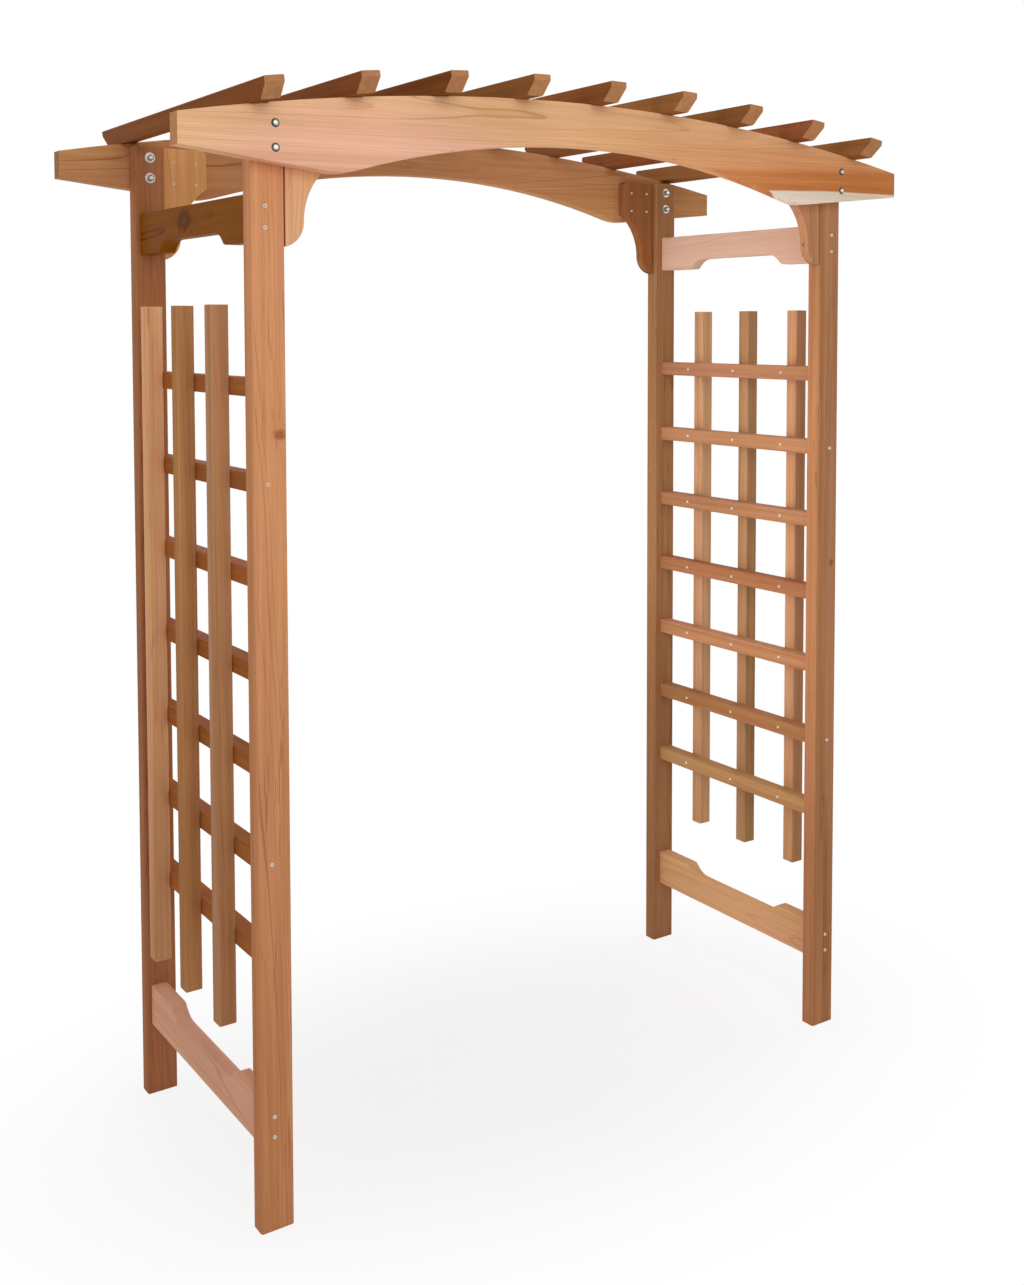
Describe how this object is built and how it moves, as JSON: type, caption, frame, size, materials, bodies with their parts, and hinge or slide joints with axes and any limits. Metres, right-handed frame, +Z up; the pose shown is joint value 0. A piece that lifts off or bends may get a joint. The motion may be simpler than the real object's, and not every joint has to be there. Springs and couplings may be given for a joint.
{
  "type": "garden arbor",
  "caption": "Wooden garden arbor with twin arched beams on posts, an open slatted roof, scrolled corner brackets and a trellis panel on each side.",
  "frame": {"origin": "on the ground, at the centre between the four posts", "axes": "+X along the arched beams to the right, +Y from the front to the rear, +Z up"},
  "size_m": [1.8034, 0.889, 2.2098],
  "materials": {
    "cedar_beam": "smooth oiled cedar, light",
    "cedar_slat": "smooth oiled cedar",
    "cedar_post": "smooth oiled cedar",
    "cedar_bracket": "smooth oiled cedar",
    "cedar_rail": "smooth oiled cedar",
    "cedar_trellis": "smooth oiled cedar",
    "zinc_bolt": "zinc plated",
    "zinc_screw": "zinc plated"
  },
  "bodies": {
    "root": {"arch_beam_front": "cedar_beam", "arch_beam_rear": "cedar_beam", "bolt_washers": "zinc_bolt", "bracket_edge_screws": "zinc_screw", "bracket_face_screws": "zinc_screw", "carriage_bolts": "zinc_bolt", "corner_bracket_front_left": "cedar_bracket", "corner_bracket_front_right": "cedar_bracket", "corner_bracket_rear_left": "cedar_bracket", "corner_bracket_rear_right": "cedar_bracket", "hex_nuts": "zinc_bolt", "lower_rail_left": "cedar_rail", "lower_rail_right": "cedar_rail", "post_front_left": "cedar_post", "post_front_right": "cedar_post", "post_rear_left": "cedar_post", "post_rear_right": "cedar_post", "rail_screws": "zinc_screw", "roof_slat_1": "cedar_slat", "roof_slat_2": "cedar_slat", "roof_slat_3": "cedar_slat", "roof_slat_4": "cedar_slat", "roof_slat_5": "cedar_slat", "roof_slat_6": "cedar_slat", "roof_slat_7": "cedar_slat", "roof_slat_8": "cedar_slat", "roof_slat_9": "cedar_slat", "roof_slat_screws": "zinc_screw", "trellis_crossing_screws": "zinc_screw", "trellis_post_screws": "zinc_screw", "trellis_rail_left_1": "cedar_trellis", "trellis_rail_left_2": "cedar_trellis", "trellis_rail_left_3": "cedar_trellis", "trellis_rail_left_4": "cedar_trellis", "trellis_rail_left_5": "cedar_trellis", "trellis_rail_left_6": "cedar_trellis", "trellis_rail_left_7": "cedar_trellis", "trellis_rail_right_1": "cedar_trellis", "trellis_rail_right_2": "cedar_trellis", "trellis_rail_right_3": "cedar_trellis", "trellis_rail_right_4": "cedar_trellis", "trellis_rail_right_5": "cedar_trellis", "trellis_rail_right_6": "cedar_trellis", "trellis_rail_right_7": "cedar_trellis", "trellis_upright_left_1": "cedar_trellis", "trellis_upright_left_2": "cedar_trellis", "trellis_upright_left_3": "cedar_trellis", "trellis_upright_right_1": "cedar_trellis", "trellis_upright_right_2": "cedar_trellis", "trellis_upright_right_3": "cedar_trellis", "upper_rail_left": "cedar_rail", "upper_rail_right": "cedar_rail"}
  },
  "joints": []
}
